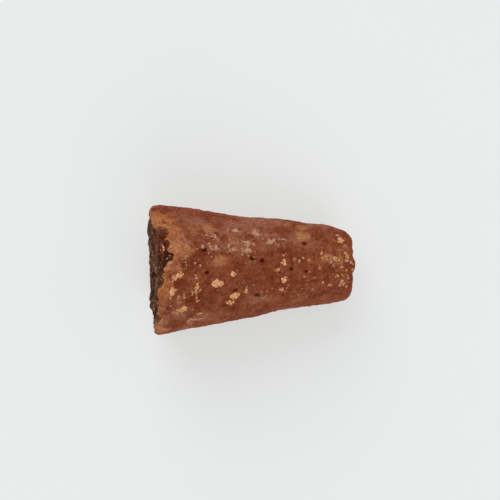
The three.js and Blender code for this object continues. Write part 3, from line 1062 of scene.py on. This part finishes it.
def crust_colour(nodes, colours):
    """The orange tan of the crust, with whitish places where it dried."""
    colour = nodes.ramp(
        nodes.noise(0.0045, detail=6.0, roughness=0.9, shift=3.1),
        (0.38, colours.crust_dark),
        (0.5, colours.crust),
        (0.62, colours.crust_pale),
    )
    dried = nodes.blotches(0.0028, 0.5, 0.66, detail=5.0, roughness=0.85, shift=5.3)
    return nodes.lay(colour, colours.bloom, 0.35, dried)


def moulded_colour(nodes, colours):
    """The moulded side: its brown under haze that is partly painted sheen, smears, scuffs with
    painted shade in their creases, crust, dust and specks.
    """
    colour = cast_colour(nodes, colours)
    # pinkish haze over the bloom marks, partly painted sheen on the upper side
    colour = nodes.lay(colour, colours.haze_and_sheen, 0.5, nodes.patch("bloom", 0.0035, 2.2, 0.15, 0.7))
    colour = nodes.lay(colour, colours.smear, 0.8, nodes.patch("smear", 0.003, 1.2, 0.25, 0.45))
    # darker flecks in the scuffed places: painted shade in their creases
    colour = nodes.lay(colour, colours.body_dark, 0.5, nodes.patch("scuff", 0.0013, 5, 0.3, 0.7))
    colour = nodes.lay(colour, colours.bloom, 0.85, nodes.patch("scuff", 0.0015, 4.6, 0.5, 0.45))
    crusted = nodes.patch("crust", 0.0018, 0.9, 0.4, 0.33)
    thick = nodes.blotches(0.005, 0.4, 0.56, detail=4.0, roughness=0.75, shift=4.7)
    share = nodes.math("MULTIPLY", crusted, nodes.weighed((thick, 0.45), start=0.5))
    colour = nodes.mix(share, colour, crust_colour(nodes, colours))
    # whitish haze over the crust where bloom marks lie, partly painted sheen
    hazy = nodes.math("MULTIPLY", crusted, nodes.patch("bloom", 0.003, 1.5, 0.15, 0.5))
    colour = nodes.lay(colour, colours.bloom, 0.17, hazy)
    colour = nodes.lay(colour, colours.flake_tan, 0.7, nodes.patch("dust", 0.0008, 1.8, 0.66, 0.2))
    specks = nodes.blotches(0.0007, 0.66, 0.73, detail=1.0, shift=0.5)
    dense = nodes.blotches(0.007, 0.42, 0.65, shift=1.7)
    return nodes.lay(colour, colours.bloom, 0.6, nodes.math("MULTIPLY", specks, dense))


def broken_colour(nodes, colours):
    """The darker brown of the bites and of the wide face, which is specked, partly with painted
    light on the raised grain, with painted shade deep in the bites.
    """
    torn = nodes.noise(0.0035, detail=7.0, roughness=0.95, shift=1.1)
    # paler where the torn grain stands high: painted light on the bumps that catch it
    tone = nodes.weighed((torn, 1.0), (nodes.field("lit_raised_grain"), 0.16), start=-0.08)
    bite = nodes.ramp(tone, (0.38, colours.bite_dark), (0.52, colours.bite), (0.68, colours.smear))
    face = nodes.ramp(
        tone, (0.42, colours.face_dark), (0.52, colours.face), (0.61, colours.face_speck)
    )
    face = nodes.mix(nodes.patch("stain", 0.003, 1.2, 0.1, 0.4), face, bite)
    blotches = nodes.blotches(0.005, 0.48, 0.58, detail=3.0, roughness=0.7, shift=6.1)
    browned = nodes.math("MAXIMUM", nodes.field("face"), nodes.math("MULTIPLY", blotches, 0.25))
    colour = nodes.mix(browned, bite, face)
    # painted shade laid deep in the bites and down the wide face under them
    return nodes.lay(colour, colours.face_dark, 0.75, nodes.patch("painted_shade", 0.0016, 1.4, 0.15, 0.5))


def cast_sugar_material(colours):
    """The body of the cone: moulded side, broken faces and open bubbles."""
    material, nodes, shader = new_material("Cast raw sugar", gloss=0.035)
    grain = nodes.group(sugar_grain_group(), Coarse_size=0.0012, Fine_size=0.00042, Contrast=2.2)
    lip = nodes.patch("broken", 0.0012, 0.6, 0.12, 0.15)
    broken = nodes.patch("broken", 0.0012, 0.6, 0.4, 0.15)
    colour = nodes.lay(moulded_colour(nodes, colours), colours.crust_pale, 0.6, lip)
    colour = nodes.mix(broken, colour, broken_colour(nodes, colours))
    colour = nodes.mix(1.0, colour, grain["Tone"], blend="MULTIPLY")
    inside = nodes.mix(nodes.field("face"), opaque(colours.pore), opaque(colours.face_dark))
    hole = nodes.math("MULTIPLY", nodes.patch("pore", 0.0008, 0.25, 0.04, 0.5), 0.96)
    crevice = nodes.math("MULTIPLY", grain["Dark"], 0.45)
    colour = nodes.mix(nodes.math("MAXIMUM", hole, crevice), colour, inside)
    nodes.feed(shader.inputs["Base Color"], colour)
    roughen(nodes, shader, grain["Height"], depth=0.00035)
    return material


def pale_sugar_material(name, tones, size):
    """Flakes, crumbs and grains: dried sugar whose tint runs through three tones."""
    material, nodes, shader = new_material(name, gloss=0.15)
    grain = nodes.group(sugar_grain_group(), Coarse_size=size, Fine_size=size / 3, Contrast=1.9)
    cloud = nodes.noise(size * 1.5, detail=3.0, roughness=0.8)
    tint = nodes.weighed((cloud, 1.6), (nodes.field("tint"), 1.0), start=-0.8)
    colour = nodes.ramp(tint, (0.1, tones[0]), (0.5, tones[1]), (0.9, tones[2]))
    colour = nodes.mix(1.0, colour, grain["Tone"], blend="MULTIPLY")
    nodes.feed(shader.inputs["Base Color"], colour)
    roughen(nodes, shader, grain["Height"], depth=0.00015)
    return material


def table_material(colour, glow):
    """A plain pale sheet that is lit a little from below, as on a light table."""
    material, nodes, shader = new_material("Pale table", gloss=0.0)
    cloud = nodes.math("MULTIPLY", nodes.noise(0.08), 0.02)
    nodes.feed(shader.inputs["Base Color"], nodes.mix(cloud, opaque(colour), opaque((1, 1, 1))))
    shader.inputs["Roughness"].default_value = 0.95
    shader.inputs["Emission Color"].default_value = opaque(ROOM_WHITE)
    shader.inputs["Emission Strength"].default_value = glow
    return material


def attach(piece):
    """Fixes a piece to the cone's body."""
    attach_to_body(piece, BODY)
    return piece


def soft_sun(name, place, strength):
    """A far, wide light that shines from a place towards the cone, evenly over the table."""
    light = bpy.data.lights.new(name, "SUN")
    light.angle = math.radians(SUN_BREADTH)
    light.energy = strength
    lamp = bpy.data.objects.new(name, light)
    lamp.location = place
    lamp.rotation_euler = (-Vector(place)).to_track_quat("-Z", "Y").to_euler()
    bpy.context.scene.collection.objects.link(lamp)


def length_prop(name, description, default, low=0.0):
    return FloatProperty(
        name=name, description=description, default=default, min=low, unit="LENGTH", precision=4
    )


def colour_prop(name, description, default):
    return FloatVectorProperty(
        name=name, description=description, default=default, size=3, min=0, max=1, subtype="COLOR"
    )


def camera_over(axis):
    """Where the camera stands along one axis, in metres."""
    return (MOUTH_CENTRE_MM[axis] + CAMERA_FROM_MOUTH_MM[axis]) * MM


class ConeSizes(PropertyGroup):
    length: length_prop("Length", "From the wide face to the narrow face", 0.0734)
    wide_radius: length_prop("Wide radius", "Radius of the mouth of the mould", 0.02425)
    narrow_radius: length_prop("Narrow radius", "Radius of the bottom of the mould", 0.0136)
    wide_edge: length_prop("Wide edge", "Rounding of the rim", 0.0018)
    narrow_edge: length_prop("Narrow edge", "Rounding of the narrow end", 0.0027)
    mouth_dish: length_prop("Mouth dish", "How far the wide face sank as it set", 0.0016)
    flat_depth: length_prop("Flat depth", "Depth of the flat that the cone lies on", 0.0004)
    pitch: length_prop("Pitch", "Distance between rings of the body's mesh", 0.00038, 0.0002)
    segments: IntProperty(
        name="Segments", description="Faces round the body", default=336, min=60, max=600
    )
    grain_strength: FloatProperty(
        name="Grain", description="Strength of the fine grain", default=1, min=0, subtype="FACTOR"
    )
    crumbs: IntProperty(name="Crumbs", description="Stray crumbs on the cone", default=160, min=0)
    grains: IntProperty(name="Grains", description="Fine grains on it", default=9000, min=0)


class SugarColours(PropertyGroup):
    body_dark: colour_prop("Body dark", "Darkest brown of the casting", (0.15, 0.027, 0.009))
    body_mid: colour_prop("Body", "Usual brown of the casting", (0.25, 0.064, 0.028))
    body_light: colour_prop("Body light", "Lighter brown of the casting", (0.32, 0.1, 0.046))
    body_pale: colour_prop("Body pale", "Palest places of the casting", (0.43, 0.175, 0.095))
    body_red: colour_prop("Body red", "Red brown between the crystals", (0.22, 0.045, 0.015))
    smear: colour_prop("Smear", "Tan of thin smears", (0.44, 0.185, 0.08))
    crust_dark: colour_prop("Crust dark", "Darker places of the crust", (0.23, 0.062, 0.021))
    crust: colour_prop("Crust", "Orange tan of the crust at the rim", (0.46, 0.157, 0.053))
    crust_pale: colour_prop("Crust pale", "Paler places of the crust", (0.54, 0.22, 0.09))
    # the haze is partly painted sheen on the upper side
    haze_and_sheen: colour_prop("Veil", "Thin pinkish haze on scuffed places", (0.38, 0.16, 0.098))
    bloom: colour_prop("Bloom", "Whitish sugar on scuffed places", (0.62, 0.33, 0.215))
    flake_pale: colour_prop("Flake pale", "Palest cream of the flakes", (0.88, 0.48, 0.25))
    flake: colour_prop("Flake", "Cream of the dried flakes", (0.7, 0.33, 0.145))
    flake_tan: colour_prop("Flake tan", "Tan side of the dried flakes", (0.48, 0.18, 0.06))
    bite_dark: colour_prop("Bite dark", "Dark of the bites", (0.095, 0.015, 0.005))
    bite: colour_prop("Bite", "Red brown of the bites", (0.155, 0.038, 0.016))
    # face_dark is also the colour of the painted shade in the bites
    face_dark: colour_prop("Face dark", "Dark pits of the wide face", (0.022, 0.006, 0.003))
    face: colour_prop("Face", "Brown of the wide face", (0.088, 0.028, 0.011))
    face_speck: colour_prop("Face speck", "Pale specks of the wide face", (0.3, 0.165, 0.095))
    pore: colour_prop("Pore", "Dark inside of the bubbles", (0.17, 0.011, 0.002))
    table: colour_prop("Table", "The pale table", (0.39, 0.402, 0.397))


class StageSettings(PropertyGroup):
    camera_height: length_prop("Camera height", "Height of the camera over the table", 0.5)
    camera_x: FloatProperty(
        name="Camera X", description="Where it looks down", default=camera_over(0), unit="LENGTH"
    )
    camera_y: FloatProperty(
        name="Camera Y", description="Where it looks down", default=camera_over(1), unit="LENGTH"
    )
    camera_turn: FloatProperty(
        name="Camera turn",
        description="How far the camera is turned about the vertical",
        default=math.radians(-1.75),
        subtype="ANGLE",
    )
    lens: FloatProperty(name="Lens", description="Focal length, mm", default=92.63, min=10)
    ambient: FloatProperty(name="Ambient", description="Light from all round", default=0.5, min=0)
    key: FloatProperty(name="Key", description="Strength of the light behind", default=1.3, min=0)
    fill: FloatProperty(name="Fill", description="The same of the one in front", default=0.8, min=0)
    glow: FloatProperty(name="Glow", description="Light from under the table", default=0.48, min=0)
    backdrop: FloatProperty(name="Backdrop", description="How pale it looks", default=0.82, min=0)


class PILONCILLO_OT_cast_body(Operator):
    """Cast the cone itself, with its crust, bites and open bubbles"""

    bl_idname = "piloncillo.cast_body"
    bl_label = "Cast the cone"

    def execute(self, context):
        sizes = context.scene.cone_sizes
        cone = Cone(sizes)
        points, normals, rings = mould_points(cone, sizes.pitch / MM, sizes.segments)
        points, fields = body_surface(cone, points, normals)
        material = cast_sugar_material(context.scene.sugar_colours)
        faces = ring_faces(rings, sizes.segments)
        body = new_object("cast_body", cone.to_row(points), faces, material)
        for name, values in fields.items():
            add_field(body.data, name, values)
        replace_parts(attach(body), NODE)
        return {"FINISHED"}


class PILONCILLO_OT_add_flakes(Operator):
    """Lay the pale flakes on the cone"""

    bl_idname = "piloncillo.add_flakes"
    bl_label = "Add pale flakes"

    def execute(self, context):
        colours = context.scene.sugar_colours
        cone = Cone(context.scene.cone_sizes)
        ball, faces = ball_of_triangles(3)
        draw = Draws(LOBE_SEED).between
        strewn_tints = [draw(*STREWN_TINTS) for _ in range(STREWN_FLAKES)]
        lobes, tints = [], []
        for flake, tint in zip(cone.flakes, [flake[6] for flake in FLAKES] + strewn_tints):
            heap = flake_lobes(cone, ball, flake, draw)
            tints += [tint + draw(-LOBE_TINTS, LOBE_TINTS) for _ in heap]
            lobes += [cone.to_row(lobe) for lobe in heap]
        tones = (colours.flake_tan, colours.flake, colours.flake_pale)
        material = pale_sugar_material("Dried flake", tones, 0.0011)
        all_faces = np.vstack([faces + n * len(ball) for n in range(len(lobes))]).tolist()
        piece = new_object("pale_flakes", np.vstack(lobes), all_faces, material)
        add_field(piece.data, "tint", np.repeat(tints, len(ball)))
        attach(piece)
        return {"FINISHED"}


class PILONCILLO_OT_add_crumbs(Operator):
    """Scatter crumbs over the cone and round each flake"""

    bl_idname = "piloncillo.add_crumbs"
    bl_label = "Add crumbs"

    def execute(self, context):
        colours = context.scene.sugar_colours
        sizes = context.scene.cone_sizes
        body = bpy.data.objects["cast_body"]
        cone = Cone(sizes)
        rng = np.random.default_rng(CRUMB_SEED)
        places = [surface_samples(body, sizes.crumbs, rng, STRAY_CLUMP)]
        breadths = [rng.uniform(*STRAY_BREADTHS, sizes.crumbs)]
        for field in CRUMB_FIELDS:
            places.append(scattered_round(cone, field, field[4], FIELD_SPREAD, rng))
            breadths.append(field[5] * rng.uniform(*FIELD_SHARES, field[4]))
        for flake in cone.flakes:
            count = int(CRUMBS_PER_MM * flake[2])
            places.append(scattered_round(cone, flake, count, CRUMB_SPREAD, rng))
            breadths.append(rng.uniform(*CRUMB_BREADTHS, count))
        breadths = np.concatenate(breadths) * MM
        tints = rng.random(len(breadths))
        crumbs = crumbled(body, np.vstack(places), breadths, tints, rng)
        tones = (colours.smear, colours.flake, colours.bloom)
        material = pale_sugar_material("Dried crumb", tones, 0.0006)
        attach(strewn_mesh("sugar_crumbs", *crumbs, rng, CRUMB_JAG, material))
        return {"FINISHED"}


class PILONCILLO_OT_add_grains(Operator):
    """Cover the cone with fine grains of sugar"""

    bl_idname = "piloncillo.add_grains"
    bl_label = "Add fine grains"

    def execute(self, context):
        colours = context.scene.sugar_colours
        rng = np.random.default_rng(GRAIN_SEED)
        count = context.scene.cone_sizes.grains
        places = surface_samples(bpy.data.objects["cast_body"], count, rng, GRAIN_CLUMP)
        breadths = rng.uniform(*GRAIN_BREADTHS, count) * MM
        tints = rng.random(count) ** GRAIN_FADE
        tones = (colours.body_dark, colours.smear, colours.bloom)
        material = pale_sugar_material("Sugar grain", tones, 0.0004)
        attach(strewn_mesh("sugar_grains", places, breadths, tints, rng, GRAIN_JAG, material))
        return {"FINISHED"}


class PILONCILLO_OT_set_stage(Operator):
    """Set the pale table, the soft lamps and the camera"""

    bl_idname = "piloncillo.set_stage"
    bl_label = "Set the stage"

    def execute(self, context):
        stage = context.scene.stage_settings
        material = table_material(context.scene.sugar_colours.table, stage.glow)
        corners = np.array([[-1, -1, 0], [1, -1, 0], [1, 1, 0], [-1, 1, 0]]) * TABLE_HALF
        new_object("table", corners, [[0, 1, 2, 3]], material)

        world = bpy.data.worlds.new("Soft room")
        world.use_nodes = True
        nodes = Nodes(world.node_tree)
        background = world.node_tree.nodes["Background"]
        background.inputs["Color"].default_value = opaque(ROOM_WHITE)
        seen = nodes.add("ShaderNodeLightPath").outputs["Is Camera Ray"]
        strength = nodes.weighed((seen, stage.backdrop - stage.ambient), start=stage.ambient)
        nodes.feed(background.inputs["Strength"], strength)
        context.scene.world = world
        soft_sun("key_sun", KEY_PLACE, stage.key)
        soft_sun("fill_sun", FILL_PLACE, stage.fill)

        camera_data = bpy.data.cameras.new("camera")
        camera_data.lens = stage.lens
        camera = bpy.data.objects.new("camera", camera_data)
        camera.location = (stage.camera_x, stage.camera_y, stage.camera_height)
        camera.rotation_euler = (0, 0, stage.camera_turn)
        context.scene.collection.objects.link(camera)
        context.scene.camera = camera
        context.scene.view_settings.view_transform = "Standard"
        return {"FINISHED"}


class PILONCILLO_PT_panel(Panel):
    """Lists the steps that build the cone, with its sizes and colours"""

    bl_idname = "PILONCILLO_PT_panel"
    bl_label = "Piloncillo"
    bl_space_type = "VIEW_3D"
    bl_region_type = "UI"
    bl_category = "Piloncillo"

    def draw(self, context):
        for settings in SETTINGS:
            for name in settings.__annotations__:
                self.layout.prop(getattr(context.scene, SETTINGS[settings]), name)
        for operator in OPERATORS:
            self.layout.operator(operator.bl_idname)


SETTINGS = {
    ConeSizes: "cone_sizes",
    SugarColours: "sugar_colours",
    StageSettings: "stage_settings",
}
OPERATORS = (
    PILONCILLO_OT_cast_body,
    PILONCILLO_OT_add_flakes,
    PILONCILLO_OT_add_crumbs,
    PILONCILLO_OT_add_grains,
    PILONCILLO_OT_set_stage,
)


def register():
    for made in (*SETTINGS, *OPERATORS, PILONCILLO_PT_panel):
        bpy.utils.register_class(made)
    for settings, name in SETTINGS.items():
        setattr(bpy.types.Scene, name, PointerProperty(type=settings))


def unregister():
    for name in SETTINGS.values():
        delattr(bpy.types.Scene, name)
    for made in reversed((*SETTINGS, *OPERATORS, PILONCILLO_PT_panel)):
        bpy.utils.unregister_class(made)


def main():
    register()
    bpy.ops.piloncillo.cast_body()
    bpy.ops.piloncillo.add_flakes()
    bpy.ops.piloncillo.add_crumbs()
    bpy.ops.piloncillo.add_grains()
    bpy.ops.piloncillo.set_stage()


if __name__ == "__main__":
    main()
